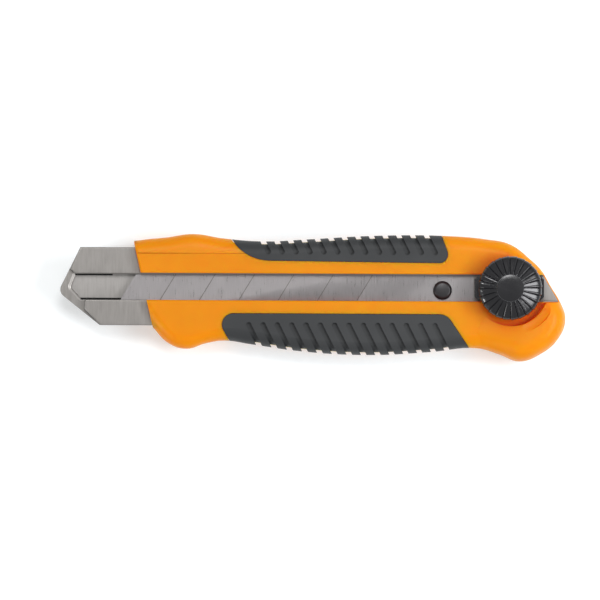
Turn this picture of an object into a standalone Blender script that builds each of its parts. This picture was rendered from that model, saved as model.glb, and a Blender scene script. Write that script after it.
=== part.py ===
"""Heavy-duty snap-off utility knife with a wheel lock.

The knife lies on its back: +Z up, +X towards the rear end, +Y towards its upper edge.
The origin is on the flat back, on the centreline of the blade, at mid-length.
"""
import math

import bmesh
import bpy
from mathutils import Matrix, Vector

MM = 0.001

# Overall sizes
BODY_LENGTH = 153.8 * MM
BODY_DEPTH = 19.0 * MM
NOSE_REACH = 26.2 * MM
EDGE_ROUND = 4.5 * MM

# Blade
BLADE_WIDTH = 25.0 * MM
BLADE_THICKNESS = 0.7 * MM
BLADE_LENGTH = 130.4 * MM
BLADE_SLANT = 0.605
SEGMENT = 14.0 * MM
SEGMENTS = 7
SCORE_WIDTH = 0.36 * MM
SCORE_DEPTH = 0.15 * MM
GRIND_WIDTH = 3.0 * MM

# Clearances
GAP = 0.3 * MM
SIDE_PLAY = 0.4 * MM
WELD = 0.002 * MM

# Sheet-metal carrier
SHEET = 1.0 * MM
GROOVE_DEPTH = 1.5 * MM
GROOVE_HALF = 4.3 * MM
SLOT_HALF = 4.8 * MM
TIP_ROUND = 3.0 * MM

# Body walls
RAIL_THICKNESS = 2.7 * MM
FLOOR_THICKNESS = 2.0 * MM
COVER_THICKNESS = 2.4 * MM
COVER_LEDGE = 1.4 * MM
SPINE_HALF = 3.6 * MM
SPINE_Y = -1.5 * MM
RIB = 1.6 * MM
CELL = 14.0 * MM
POCKET_MARGIN = 24.0 * MM

# Grips
GRIP_THICKNESS = 1.1 * MM
GRIP_BOTTOM = 2.0 * MM
GRIP_SLOT = 2.0 * MM
GRIP_SLOT_DEPTH = 0.75 * MM
GRIP_SLOT_TILT = math.radians(27.0)
UPPER_PITCH = 4.95 * MM
UPPER_SLOTS = 13
LOWER_PITCH = 5.1 * MM
LOWER_SLOTS = 14

# Slider, lock wheel and heel
WHEEL_FROM_REAR = 20.0 * MM
WHEEL_RADIUS = 11.55 * MM
WHEEL_HEIGHT = 9.0 * MM
FLUTES = 24
FLUTE_DEPTH = 0.6 * MM
CAP_RADIUS = 4.85 * MM
CAP_DEPTH = 1.8 * MM
NUT_RADIUS = 4.4 * MM
NUT_HEIGHT = 5.4 * MM
STUD_RADIUS = 2.5 * MM
STUD_HEAD_RADIUS = 3.3 * MM
STUD_HEAD_HEIGHT = 0.8 * MM
WASHER_RADIUS = 8.0 * MM
WASHER_THICKNESS = 1.0 * MM
BLOCK_FRONT = 12.5 * MM
BLOCK_REAR = 12.2 * MM
BLOCK_CHAMFER = 1.4 * MM
PIN_FROM_WHEEL = 23.9 * MM
PIN_Y = -0.9 * MM
PIN_HEAD_RADIUS = 3.33 * MM
PIN_RADIUS = 2.4 * MM
PIN_HEAD = 1.5 * MM
TONGUE_FRONT_MARGIN = 4.5 * MM
SCOOP_CLEARANCE = 1.75 * MM
SCOOP_RADIUS = WHEEL_RADIUS + SCOOP_CLEARANCE
HEEL_RISE = 4.4 * MM
HEEL_ROUND = 6.0 * MM
HEEL_SWEEP = 40.0 * MM
HEEL_START = -2.0 * MM
HEEL_TURN = math.radians(-38)
HEEL_INSET = 0.35 * MM
HEEL_SINK = 0.1 * MM

# Screws
SCREW_RADIUS = 1.25 * MM
SCREW_HEAD_RADIUS = 2.2 * MM
SCREW_HEAD = 1.4 * MM
COVER_SCREW_LENGTH = 7.0 * MM
COVER_SCREWS = 4
CARRIER_SCREW_Y = 7.5 * MM

# Levels, from the back up
FACE = BODY_DEPTH
LIP_TOP = FACE - RAIL_THICKNESS - GAP
LIP_UNDER = LIP_TOP - SHEET
BLADE_TOP = LIP_UNDER - GAP
BLADE_UNDER = BLADE_TOP - BLADE_THICKNESS
SHELF_TOP = BLADE_UNDER - GAP
SHELF_UNDER = SHELF_TOP - SHEET
GROOVE_FLOOR = SHELF_TOP - GROOVE_DEPTH
GROOVE_UNDER = GROOVE_FLOOR - SHEET
TROUGH_FLOOR = GROOVE_UNDER - GAP
POCKET_TOP = TROUGH_FLOOR - FLOOR_THICKNESS
WASHER_UNDER = FACE + GAP
WHEEL_UNDER = WASHER_UNDER + WASHER_THICKNESS + GAP
WHEEL_TOP = WHEEL_UNDER + WHEEL_HEIGHT

# Places along the knife
X_REAR = (BODY_LENGTH + NOSE_REACH) / 2
X_FRONT = X_REAR - BODY_LENGTH
X_TIP = X_FRONT - NOSE_REACH
X_WHEEL = X_REAR - WHEEL_FROM_REAR
X_PIN = X_WHEEL - PIN_FROM_WHEEL
X_BLOCK_FRONT = X_WHEEL - BLOCK_FRONT
X_BLOCK_REAR = X_WHEEL + BLOCK_REAR
X_BLADE_TAIL = X_BLOCK_FRONT - GAP
HALF_BLADE = BLADE_WIDTH / 2
CHANNEL_HALF = HALF_BLADE + SIDE_PLAY
CARRIER_HALF = CHANNEL_HALF + SHEET
KEEL_HALF = GROOVE_HALF + SHEET
X_REAR_CUT = X_REAR - 21.3 * MM
REAR_CUT_SLANT = 1.15
FAR = BODY_LENGTH + NOSE_REACH
DRAWN_FRONT = -63.8 * MM
DRAWN_REAR = 90.0 * MM
DRAWN_SIDE = 13.9 * MM
END_ZONE = 14.0 * MM


def along(x):
    """X of a drawn station in mm: the ends keep their shape and the middle stretches."""
    x = x * MM
    front_end = DRAWN_FRONT + END_ZONE
    rear_start = DRAWN_REAR - 3 * END_ZONE
    if x <= front_end:
        return X_FRONT + (x - DRAWN_FRONT)
    if x >= rear_start:
        return X_REAR + (x - DRAWN_REAR)
    share = (x - front_end) / (rear_start - front_end)
    start = X_FRONT + END_ZONE
    return start + share * (X_REAR - 3 * END_ZONE - start)


def across(y):
    """Y of a drawn station in mm: outside the carrier, an edge keeps its distance from it."""
    y = y * MM
    if abs(y) <= DRAWN_SIDE:
        return y * CARRIER_HALF / DRAWN_SIDE
    return math.copysign(CARRIER_HALF + abs(y) - DRAWN_SIDE, y)


def drawn(points):
    return [(along(x), across(y)) for x, y in points]


# Edge of the body, clockwise from the nose side; it runs on past the front face, which is cut later
BODY_EDGE = [
    (-76.0, 8.0), (-70.0, 14.6), (-61.0, 16.5), (-52.6, 17.4), (-42.5, 18.7), (-32.0, 17.2),
    (-18.0, 16.2), (-2.0, 17.0), (22.0, 18.4), (45.8, 18.5), (62.0, 17.3), (70.1, 15.6),
    (77.2, 10.4), (81.6, 6.0), (84.6, 0.9), (88.2, -5.2), (89.9, -11.0), (87.3, -18.0),
    (81.0, -23.5), (73.6, -26.1), (66.7, -23.7), (58.5, -21.5), (42.0, -22.9), (20.3, -24.1),
    (-4.0, -22.9), (-22.4, -20.4), (-31.5, -19.2), (-38.0, -20.2), (-45.0, -22.2), (-51.4, -20.2),
    (-56.6, -15.0), (-63.0, -7.0), (-71.0, -2.0),
]
FRONT_FACE = [(-53.5, -30.0), (-67.1, 30.0), (-110.0, 30.0), (-110.0, -30.0)]

# Face edges of the two grips; both run out beyond the body's side
UPPER_GRIP_EDGE = [(-31.5, 20.6), (-23.9, 9.5), (49.2, 8.8), (44.6, 21.5), (44.6, 30.0), (-31.5, 30.0)]
UPPER_GRIP_ROUNDS = [0, 16, 3, 0, 0, 0]
LOWER_GRIP_EDGE = [
    (-35.2, -9.5), (47.6, -9.5), (57.6, -24.3), (57.6, -36.0), (-28.6, -36.0), (-28.6, -21.0),
]
LOWER_GRIP_ROUNDS = [4, 5, 0, 0, 0, 0]


# Edge of the recess for the back cover, counter-clockwise
COVER_EDGE = [
    (-54.0, -9.5), (-47.0, -14.8), (-30.5, -12.4), (20.0, -17.0), (58.5, -14.6), (73.6, -19.2),
    (82.5, -12.0), (68.0, 9.6), (45.8, 12.0), (20.0, 12.0), (-18.0, 9.6), (-42.5, 12.4), (-58.0, 9.4),
]
COVER_ROUNDS = [4, 5, 12, 60, 16, 6, 5, 10, 0, 60, 60, 12, 4]


def new_collection(name):
    collection = bpy.data.collections.new(name)
    bpy.context.scene.collection.children.link(collection)
    return collection


def start_scene():
    """Clear the scene and make one collection for the knife and one for its cutters."""
    for obj in list(bpy.data.objects):
        bpy.data.objects.remove(obj, do_unlink=True)
    return new_collection("utility_knife"), new_collection("cutters")


KNIFE, CUTTERS = start_scene()


def make_material(name, colour, roughness, metallic=0.0):
    material = bpy.data.materials.new(name)
    material.use_nodes = True
    shader = material.node_tree.nodes["Principled BSDF"]
    shader.inputs["Base Color"].default_value = (*colour, 1.0)
    shader.inputs["Roughness"].default_value = roughness
    shader.inputs["Metallic"].default_value = metallic
    return material


def finish(obj, material):
    """Put a finished piece in the knife's collection, with its own material and smooth rounds."""
    for collection in list(obj.users_collection):
        collection.objects.unlink(obj)
    KNIFE.objects.link(obj)
    obj.data.materials.clear()
    obj.data.materials.append(material)
    obj.data.shade_smooth()
    obj.data.set_sharp_from_angle(angle=math.radians(30))
    return obj


def as_cutter(obj, group=CUTTERS):
    for collection in list(obj.users_collection):
        collection.objects.unlink(obj)
    group.objects.link(obj)
    obj.hide_render = True
    obj.display_type = "WIRE"
    return obj


def boolean(target, other, operation="DIFFERENCE"):
    modifier = target.modifiers.new(operation.lower(), "BOOLEAN")
    modifier.operation = operation
    modifier.solver = "EXACT"
    modifier.object = as_cutter(other)
    return target


def cut(target, cutters):
    """Cut several solids, which may overlap, out of target in one step."""
    group = bpy.data.collections.new(target.name + "_cutters")
    CUTTERS.children.link(group)
    for cutter in cutters:
        as_cutter(cutter, group)
    modifier = target.modifiers.new("cut", "BOOLEAN")
    modifier.operation = "DIFFERENCE"
    modifier.solver = "EXACT"
    modifier.operand_type = "COLLECTION"
    modifier.collection = group
    return target


def frozen(obj, name):
    """A mesh object with the evaluated shape of obj, caps welded; obj is removed."""
    bpy.context.view_layer.update()
    depsgraph = bpy.context.evaluated_depsgraph_get()
    mesh = bpy.data.meshes.new_from_object(obj.evaluated_get(depsgraph))
    shape = bmesh.new()
    shape.from_mesh(mesh)
    bmesh.ops.remove_doubles(shape, verts=shape.verts, dist=WELD)
    bmesh.ops.dissolve_degenerate(shape, edges=shape.edges, dist=WELD)
    shape.to_mesh(mesh)
    shape.free()
    place = obj.matrix_world.copy()
    bpy.data.objects.remove(obj, do_unlink=True)
    result = bpy.data.objects.new(name, mesh)
    result.matrix_world = place
    bpy.context.scene.collection.objects.link(result)
    return result


def flat_curve(name, z_low, z_high):
    curve = bpy.data.curves.new(name, "CURVE")
    curve.dimensions = "2D"
    curve.fill_mode = "BOTH"
    curve.extrude = (z_high - z_low) / 2
    obj = bpy.data.objects.new(name, curve)
    obj.location = (0, 0, (z_low + z_high) / 2)
    bpy.context.scene.collection.objects.link(obj)
    return obj


def plate(name, points, z_low, z_high):
    """A flat plate with straight edges through the points."""
    obj = flat_curve(name, z_low, z_high)
    spline = obj.data.splines.new("POLY")
    spline.points.add(len(points) - 1)
    for point, (x, y) in zip(spline.points, points):
        point.co = (x, y, 0, 1)
    spline.use_cyclic_u = True
    return frozen(obj, name)


def body_form(name, z_low, z_high, inset, round_edge):
    """The body's outline as a rounded slab, drawn in by inset all round."""
    obj = flat_curve(name, z_low + round_edge, z_high - round_edge)
    curve = obj.data
    curve.resolution_u = 3
    curve.bevel_depth = round_edge
    curve.bevel_resolution = 1
    curve.offset = -(inset + round_edge)
    spline = curve.splines.new("BEZIER")
    edge = drawn(BODY_EDGE)
    spline.bezier_points.add(len(edge) - 1)
    for point, (x, y) in zip(spline.bezier_points, edge):
        point.co = (x, y, 0)
        point.handle_left_type = "AUTO"
        point.handle_right_type = "AUTO"
    spline.use_cyclic_u = True
    return frozen(obj, name)


def block(name, x_range, y_range, z_range):
    """A rectangular block between three pairs of limits."""
    bpy.ops.mesh.primitive_cube_add(size=1.0)
    obj = bpy.context.active_object
    obj.name = name
    ranges = (x_range, y_range, z_range)
    size = Vector([high - low for low, high in ranges])
    middle = Vector([(high + low) / 2 for low, high in ranges])
    obj.data.transform(Matrix.Translation(middle) @ Matrix.Diagonal((*size, 1.0)))
    return obj


def turned(name, profile, steps, place=(0, 0, 0), closed=False):
    """A profile of (radius, height) turned round the vertical axis through place."""
    mesh = bpy.data.meshes.new(name)
    edges = [(i, i + 1) for i in range(len(profile) - 1)]
    if closed:
        edges.append((len(profile) - 1, 0))
    mesh.from_pydata([(r, 0, z) for r, z in profile], edges, [])
    obj = bpy.data.objects.new(name, mesh)
    bpy.context.scene.collection.objects.link(obj)
    screw = obj.modifiers.new("turn", "SCREW")
    screw.steps = steps
    screw.render_steps = steps
    screw.use_merge_vertices = True
    screw.merge_threshold = 0.01 * MM
    obj.location = place
    return obj


def bore(name, radius, z_low, z_high, x, y, steps=24):
    profile = [(0, z_high), (radius, z_high), (radius, z_low), (0, z_low)]
    return turned(name, profile, steps, (x, y, 0))


def rounded(points, radii, steps=5):
    """The corners of a polygon turned into arcs of the given radii in mm."""
    result = []
    count = len(points)
    for i, radius in enumerate(radii):
        corner = Vector(points[i])
        if radius == 0:
            result.append(tuple(corner))
            continue
        before = (Vector(points[i - 1]) - corner).normalized()
        after = (Vector(points[(i + 1) % count]) - corner).normalized()
        half = before.angle(after) / 2
        middle = corner + (before + after).normalized() * (radius * MM / math.sin(half))
        start = corner + before * (radius * MM / math.tan(half)) - middle
        end = corner + after * (radius * MM / math.tan(half)) - middle
        sweep = start.angle_signed(end)
        for step in range(steps + 1):
            arm = start.copy()
            arm.rotate(Matrix.Rotation(-sweep * step / steps, 2))
            result.append(tuple(middle + arm))
    return result


def grown(points, distance):
    """A counter-clockwise polygon with every side moved outwards by distance."""
    result = []
    count = len(points)
    for i in range(count):
        before, here, after = (Vector(points[(i + k) % count]) for k in (-1, 0, 1))
        normal_in = (here - before).orthogonal().normalized() * -1
        normal_out = (after - here).orthogonal().normalized() * -1
        bisector = (normal_in + normal_out).normalized()
        result.append(tuple(here + bisector * (distance / bisector.dot(normal_in))))
    return result


def carrier_plan():
    """Plan of the carrier, counter-clockwise: pointed nose, and a rear cut back inside the body."""
    half = CARRIER_HALF
    return [
        (X_TIP + 7.1 * MM, half), (X_TIP - 0.76 * MM, -2.1 * MM), (X_TIP + 14.1 * MM, -half),
        (X_REAR - 5.0 * MM, -half), (X_REAR - 5.0 * MM, -6.0 * MM),
        (X_REAR_CUT + (half - KEEL_HALF) * REAR_CUT_SLANT, KEEL_HALF), (X_REAR_CUT, half),
    ]


def groove_plan(rear_low, rear_high):
    """Plan of the pressed groove; its front end is the chevron that stops the tongue."""
    return [
        (X_TIP + 5.9 * MM, GROOVE_HALF), (X_TIP + 3.0 * MM, -0.4 * MM),
        (X_TIP + 7.6 * MM, -GROOVE_HALF),
        (rear_low, -GROOVE_HALF), (rear_high, GROOVE_HALF),
    ]


def make_carrier(material):
    """Folded channel: shelves under the blade, side walls and lips over it, and a pressed groove."""
    plan = carrier_plan()
    nose = rounded(plan, [0, TIP_ROUND / MM] + [0] * (len(plan) - 2))
    carrier = plate("blade_carrier", nose, SHELF_UNDER, LIP_TOP)
    keel = grown(groove_plan(X_REAR - 3.9 * MM, X_REAR - 9.0 * MM), SHEET)
    boolean(carrier, plate("carrier_keel", keel, GROOVE_UNDER, SHELF_TOP - GAP), "UNION")
    side = (-CHANNEL_HALF, CHANNEL_HALF)
    lower_lip = [
        (X_TIP + 8.6 * MM, 0), (-FAR, 0), (-FAR, -FAR), (X_TIP + 13.6 * MM, -FAR),
        (X_TIP + 13.6 * MM, 1.0 * MM - CARRIER_HALF), (X_TIP + 8.6 * MM, -6.8 * MM),
    ]
    upper_lip = [
        (X_TIP + 6.4 * MM, 4.0 * MM), (X_TIP + 4.2 * MM, 6.2 * MM), (-FAR, 6.2 * MM), (-FAR, 4.0 * MM),
    ]
    cutters = [
        block("carrier_channel", (-FAR, FAR), side, (SHELF_TOP, LIP_UNDER)),
        plate("carrier_groove", groove_plan(FAR, FAR), GROOVE_FLOOR, BLADE_TOP),
        block("carrier_slot", (-FAR, FAR), (-SLOT_HALF, SLOT_HALF), (BLADE_UNDER, FACE)),
        plate("carrier_lower_lip_front", lower_lip, BLADE_UNDER, FACE),
        plate("carrier_upper_lip_corner", upper_lip, BLADE_TOP + GAP / 2, FACE),
    ]
    for index, x in enumerate(carrier_screw_places()):
        hole = SCREW_RADIUS + GAP
        cutters.append(bore(f"carrier_hole_{index}", hole, 0, BLADE_UNDER, x, CARRIER_SCREW_Y, 12))
    return finish(cut(carrier, cutters), material)


def carrier_screw_places():
    return [X_FRONT + 15.0 * MM, X_REAR - 33.0 * MM]


def cover_screw_places():
    first = X_FRONT + 16.0 * MM
    last = X_REAR - 22.0 * MM
    return [first + (last - first) * i / (COVER_SCREWS - 1) for i in range(COVER_SCREWS)]


def slot_cutters(edge, count, pitch, first_x, inner_y, side):
    """Slanted grip slots with round inner ends, from the grip's face to the foot of its side."""
    cutters = []
    half = GRIP_SLOT / 2
    reach = 24.0 * MM
    lean = side * math.tan(GRIP_SLOT_TILT) * reach
    for index in range(count):
        x = along(first_x) + index * pitch * BODY_LENGTH / (DRAWN_REAR - DRAWN_FRONT)
        y = across(inner_y)
        turns = [math.pi * k / 4 for k in range(5)]
        end = [(x + half * math.cos(a), y - side * half * math.sin(a)) for a in turns]
        outer = [(x - half - lean, y + side * reach), (x + half - lean, y + side * reach)]
        points = end + outer
        cutters.append(plate(f"{edge}_slot_{index}", points, GRIP_BOTTOM - 2 * GAP, FACE + GAP))
    return cutters


def grip_region(name, edge, rounds, grow):
    points = rounded(drawn(edge), rounds)
    if sum(a[0] * b[1] - b[0] * a[1] for a, b in zip(points, points[1:] + points[:1])) < 0:
        points.reverse()
    return plate(name, grown(points, grow), GRIP_BOTTOM - grow, FACE + 2 * GAP + grow)


def make_grip(name, edge, rounds, slots, material):
    """A grip is a layer of the body's own rounded form, cut to its face edge, with slots."""
    grip = body_form(name, 0, FACE, 0, EDGE_ROUND)
    boolean(grip, grip_region(name + "_region", edge, rounds, 0), "INTERSECT")
    core = body_form(name + "_core", GRIP_THICKNESS, FACE - GRIP_THICKNESS, GRIP_THICKNESS,
                     EDGE_ROUND - GRIP_THICKNESS)
    boolean(grip, core)
    deep = GRIP_SLOT_DEPTH
    slot_core = body_form(name + "_slot_core", deep, FACE - deep, deep, EDGE_ROUND - deep)
    slot_set = slots[0]
    for other in slots[1:]:
        join_into(slot_set, other)
    boolean(slot_set, slot_core)
    boolean(grip, slot_set)
    return finish(grip, material)


def join_into(target, other):
    """Add the separate solid of other to target."""
    shape = bmesh.new()
    shape.from_mesh(target.data)
    added = other.data.copy()
    added.transform(target.matrix_world.inverted() @ other.matrix_world)
    shape.from_mesh(added)
    shape.to_mesh(target.data)
    shape.free()
    bpy.data.meshes.remove(added)
    bpy.data.objects.remove(other, do_unlink=True)


def grip_recess(name, edge, rounds):
    recess = grip_region(name, edge, rounds, GAP)
    skin = GRIP_THICKNESS + GAP
    core = body_form(name + "_core", skin, FACE - skin, skin, EDGE_ROUND - skin)
    return boolean(recess, core)


def heel():
    """Raised heel behind the wheel: the body's outline carried higher, sweeping up from the face."""
    form = body_form("heel", EDGE_ROUND, FACE + HEEL_RISE, HEEL_INSET, HEEL_ROUND)
    side = block("heel_side", (X_WHEEL - 22 * MM, FAR), (-FAR, 0), (FACE - 5 * MM, FAR))
    boolean(form, side, "INTERSECT")
    across_heel = Matrix.Rotation(HEEL_TURN, 4, "Z")
    start = Matrix.Translation((X_WHEEL, 0, 0)) @ across_heel @ Matrix.Translation((HEEL_START, 0, 0))
    axis = Matrix.Translation((0, 0, FACE + HEEL_SWEEP - HEEL_SINK)) @ Matrix.Rotation(math.pi / 2, 4, "X")
    bpy.ops.mesh.primitive_cylinder_add(vertices=120, radius=HEEL_SWEEP, depth=2 * FAR)
    sweep = bpy.context.active_object
    sweep.name = "heel_sweep"
    sweep.matrix_world = start @ axis
    ahead = block("heel_ahead", (-FAR, 0), (-FAR, FAR), (FACE - GAP, FAR))
    ahead.matrix_world = start
    return frozen(cut(form, [scoop(), sweep, ahead]), "heel")


def scoop():
    """Turned hollow round the wheel: a steep wall, then a gentle band up to the heel's crest."""
    profile = [
        (0, FAR), (SCOOP_RADIUS + 5.2 * MM, FAR), (SCOOP_RADIUS + 4.2 * MM, FACE + 4.6 * MM),
        (SCOOP_RADIUS + 3.3 * MM, FACE + 3.6 * MM), (SCOOP_RADIUS + 0.7 * MM, FACE + 2.2 * MM),
        (SCOOP_RADIUS, FACE), (SCOOP_RADIUS, 0), (0, 0),
    ]
    return turned("scoop", profile, 48, (X_WHEEL, 0, 0))


def cover_plan():
    return rounded(drawn(COVER_EDGE), COVER_ROUNDS)


def pocket_cells():
    """Cells in the back of the body, either side of a spine, between cross ribs."""
    outline = plate("pocket_outline", grown(cover_plan(), -COVER_LEDGE), -2 * GAP, POCKET_TOP)
    cells = None
    count = int((BODY_LENGTH - POCKET_MARGIN) / (CELL + RIB))
    for index in range(count):
        x = X_FRONT + 0.4 * POCKET_MARGIN + index * (CELL + RIB)
        for low, high in ((-FAR, SPINE_Y - SPINE_HALF), (SPINE_Y + SPINE_HALF, FAR)):
            cell = block(f"cell_{index}", (x, x + CELL), (low, high), (-3 * GAP, FACE))
            if cells is None:
                cells = cell
            else:
                join_into(cells, cell)
    return boolean(cells, outline, "INTERSECT")


def make_body(material):
    body = body_form("body_shell", 0, FACE, 0, EDGE_ROUND)
    body = frozen(boolean(body, heel(), "UNION"), "body_shell")
    cavity = grown(carrier_plan(), GAP)
    trough = (-KEEL_HALF - GAP, KEEL_HALF + GAP)
    cutters = [
        plate("front_face", [(along(x), y * MM) for x, y in FRONT_FACE], -GAP, FACE + GAP),
        plate("carrier_cavity", cavity, SHELF_UNDER - GAP, LIP_TOP + GAP),
        block("trough", (-FAR, FAR), trough, (TROUGH_FLOOR, SHELF_TOP)),
        block("slot", (-FAR, FAR), (-SLOT_HALF, SLOT_HALF), (SHELF_UNDER, FAR)),
        grip_recess("upper_recess", UPPER_GRIP_EDGE, UPPER_GRIP_ROUNDS),
        grip_recess("lower_recess", LOWER_GRIP_EDGE, LOWER_GRIP_ROUNDS),
        plate("cover_recess", cover_plan(), -GAP, COVER_THICKNESS + GAP),
        pocket_cells(),
    ]
    for index, x in enumerate(cover_screw_places()):
        top = SCREW_HEAD + COVER_SCREW_LENGTH
        cutters.append(bore(f"cover_bore_{index}", SCREW_RADIUS + GAP, 0, top, x, SPINE_Y, 12))
    for index, x in enumerate(carrier_screw_places()):
        hole = SCREW_RADIUS + GAP
        head = SCREW_HEAD_RADIUS + GAP
        cutters.append(bore(f"floor_bore_{index}", hole, GAP, FACE - 2 * GAP, x, CARRIER_SCREW_Y, 12))
        cutters.append(bore(f"floor_seat_{index}", head, 0, POCKET_TOP + GAP, x, CARRIER_SCREW_Y, 12))
    return finish(cut(body, cutters), material)


def make_cover(material):
    cover = plate("back_cover", grown(cover_plan(), -GAP), 0, COVER_THICKNESS)
    cutters = []
    for index, x in enumerate(cover_screw_places()):
        cutters.append(bore(f"cover_hole_{index}", SCREW_RADIUS + GAP, -GAP, FACE, x, SPINE_Y, 12))
        head = SCREW_HEAD_RADIUS + GAP
        cutters.append(bore(f"cover_sink_{index}", head, -2 * GAP, SCREW_HEAD + GAP, x, SPINE_Y, 12))
    return finish(cut(cover, cutters), material)


def make_screw(name, head_under, length, x, y, material):
    """A pan-head screw pointing up, with a cross recess in its head."""
    top = head_under + SCREW_HEAD
    profile = [
        (0, top + length), (SCREW_RADIUS, top + length), (SCREW_RADIUS, top),
        (SCREW_HEAD_RADIUS, top), (SCREW_HEAD_RADIUS, head_under), (0, head_under),
    ]
    screw = turned(name, profile, 12, (x, y, 0))
    arm = SCREW_HEAD_RADIUS * 0.55
    slim = 0.35 * MM
    for suffix, across_x, across_y in (("a", arm, slim), ("b", slim, arm)):
        cross = block(f"{name}_cross_{suffix}", (x - across_x, x + across_x), (y - across_y, y + across_y),
                      (head_under - GAP, head_under + 0.8 * MM))
        boolean(screw, cross)
    return finish(screw, material)


def make_screws(material):
    for index, x in enumerate(cover_screw_places()):
        make_screw(f"cover_screw_{index + 1}", 0, COVER_SCREW_LENGTH - GAP, x, SPINE_Y, material)
    length = SHELF_TOP - GAP - POCKET_TOP
    for name, x in zip(("carrier_screw_front", "carrier_screw_rear"), carrier_screw_places()):
        make_screw(name, POCKET_TOP - SCREW_HEAD, length, x, CARRIER_SCREW_Y, material)


def blade_plan():
    tip = X_BLADE_TAIL - BLADE_LENGTH
    return [
        (tip, -HALF_BLADE), (X_BLADE_TAIL, -HALF_BLADE), (X_BLADE_TAIL, HALF_BLADE),
        (tip + BLADE_SLANT * BLADE_WIDTH, HALF_BLADE),
    ]


def make_blade(material):
    """Snap-off blade: slanted point, scored segments, ground lower edge and a hole for the pin."""
    blade = plate("blade", blade_plan(), BLADE_UNDER, BLADE_TOP)
    tip = X_BLADE_TAIL - BLADE_LENGTH
    slant = BLADE_SLANT * BLADE_WIDTH
    scores = None
    for index in range(1, SEGMENTS):
        x = tip + index * SEGMENT
        line = [
            (x - BLADE_SLANT * GAP, -HALF_BLADE - GAP),
            (x - BLADE_SLANT * GAP + SCORE_WIDTH, -HALF_BLADE - GAP),
            (x + slant + BLADE_SLANT * GAP + SCORE_WIDTH, HALF_BLADE + GAP),
            (x + slant + BLADE_SLANT * GAP, HALF_BLADE + GAP),
        ]
        score = plate(f"score_{index}", line, BLADE_TOP - SCORE_DEPTH, BLADE_TOP + GAP)
        if scores is None:
            scores = score
        else:
            join_into(scores, score)
    boolean(blade, scores)
    grind = block("grind", (-FAR, FAR), (-GRIND_WIDTH * 2, 0), (0, GRIND_WIDTH))
    angle = math.atan(BLADE_THICKNESS * 0.9 / GRIND_WIDTH)
    start = Vector((0, -HALF_BLADE + GRIND_WIDTH, BLADE_TOP))
    grind.matrix_world = Matrix.Translation(start) @ Matrix.Rotation(angle, 4, "X")
    boolean(blade, grind)
    boolean(blade, bore("pin_hole", PIN_RADIUS + GAP, 0, FACE, X_PIN, PIN_Y))
    return finish(blade, material)


def make_pin(material):
    """Pin in the tongue: its shank passes the blade's hole and its head stands over the blade."""
    head_under = BLADE_TOP + GAP
    top = head_under + PIN_HEAD
    profile = [
        (0, top), (PIN_HEAD_RADIUS - 0.8 * MM, top), (PIN_HEAD_RADIUS, top - 0.6 * MM),
        (PIN_HEAD_RADIUS, head_under), (PIN_RADIUS, head_under),
        (PIN_RADIUS, GROOVE_FLOOR + 2 * GAP), (0, GROOVE_FLOOR + 2 * GAP),
    ]
    return finish(turned("blade_pin", profile, 32, (X_PIN, PIN_Y, 0)), material)


def clamp_plan():
    """Plan of the clamp plate behind the blade: it follows the cut-back corner of the carrier."""
    corner = X_REAR_CUT - 1.5 * MM
    half = HALF_BLADE
    neck = GROOVE_HALF - GAP
    return [
        (X_BLOCK_FRONT, -half), (X_BLOCK_REAR - GAP, -half), (X_BLOCK_REAR - GAP, neck),
        (corner + (half - neck) * REAR_CUT_SLANT, neck), (corner, half), (X_BLOCK_FRONT, half),
    ]


def make_clamp(material):
    """Clamp plate under the lips, with the tongue that runs in the groove and carries the pin."""
    clamp = plate("clamp_plate", clamp_plan(), BLADE_UNDER, BLADE_TOP)
    neck = GROOVE_HALF - GAP
    tongue_under = GROOVE_FLOOR + GAP
    tongue = block("tongue", (X_PIN - TONGUE_FRONT_MARGIN, X_BLOCK_REAR - GAP), (-neck, neck),
                   (tongue_under, SHELF_TOP))
    boolean(clamp, tongue, "UNION")
    bridge = block("tongue_bridge", (X_BLOCK_FRONT, X_BLOCK_REAR - GAP), (-neck, neck),
                   (tongue_under + GAP, BLADE_UNDER + GAP))
    boolean(clamp, bridge, "UNION")
    boolean(clamp, bore("pin_seat", PIN_RADIUS + GAP, 0, FACE, X_PIN, PIN_Y))
    boolean(clamp, bore("stud_hole", STUD_RADIUS + GAP, 0, FACE, X_WHEEL, 0))
    sink_top = tongue_under + STUD_HEAD_HEIGHT + 2 * GAP
    boolean(clamp, bore("stud_sink", STUD_HEAD_RADIUS + GAP, 0, sink_top, X_WHEEL, 0))
    return finish(clamp, material)


def make_slide_block(material):
    """Slider in the slot, with chamfered corners and a hole for the stud."""
    half = SLOT_HALF - GAP
    front = X_BLOCK_FRONT
    rear = X_BLOCK_REAR
    corner = BLOCK_CHAMFER
    plan = [
        (front + corner, -half), (rear - corner, -half), (rear, -half + corner), (rear, half - corner),
        (rear - corner, half), (front + corner, half), (front, half - corner), (front, -half + corner),
    ]
    slide_block = plate("slide_block", plan, BLADE_TOP + GAP, FACE)
    boolean(slide_block, bore("block_hole", STUD_RADIUS + GAP, 0, 2 * FACE, X_WHEEL, 0))
    return finish(slide_block, material)


def make_stud(material):
    """Lock screw: a flat head under the clamp plate and a long shank up into the wheel's nut."""
    under = GROOVE_FLOOR + GAP
    head_top = under + STUD_HEAD_HEIGHT
    top = WHEEL_UNDER + NUT_HEIGHT
    profile = [
        (0, top), (STUD_RADIUS - 0.4 * MM, top), (STUD_RADIUS, top - 0.4 * MM), (STUD_RADIUS, head_top),
        (STUD_HEAD_RADIUS, head_top), (STUD_HEAD_RADIUS, under), (0, under),
    ]
    return finish(turned("lock_screw", profile, 24, (X_WHEEL, 0, 0)), material)


def ring(name, outer, inner, z_low, z_high, steps, material):
    profile = [(inner, z_low), (inner, z_high), (outer, z_high), (outer, z_low)]
    return finish(turned(name, profile, steps, (X_WHEEL, 0, 0), closed=True), material)


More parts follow.
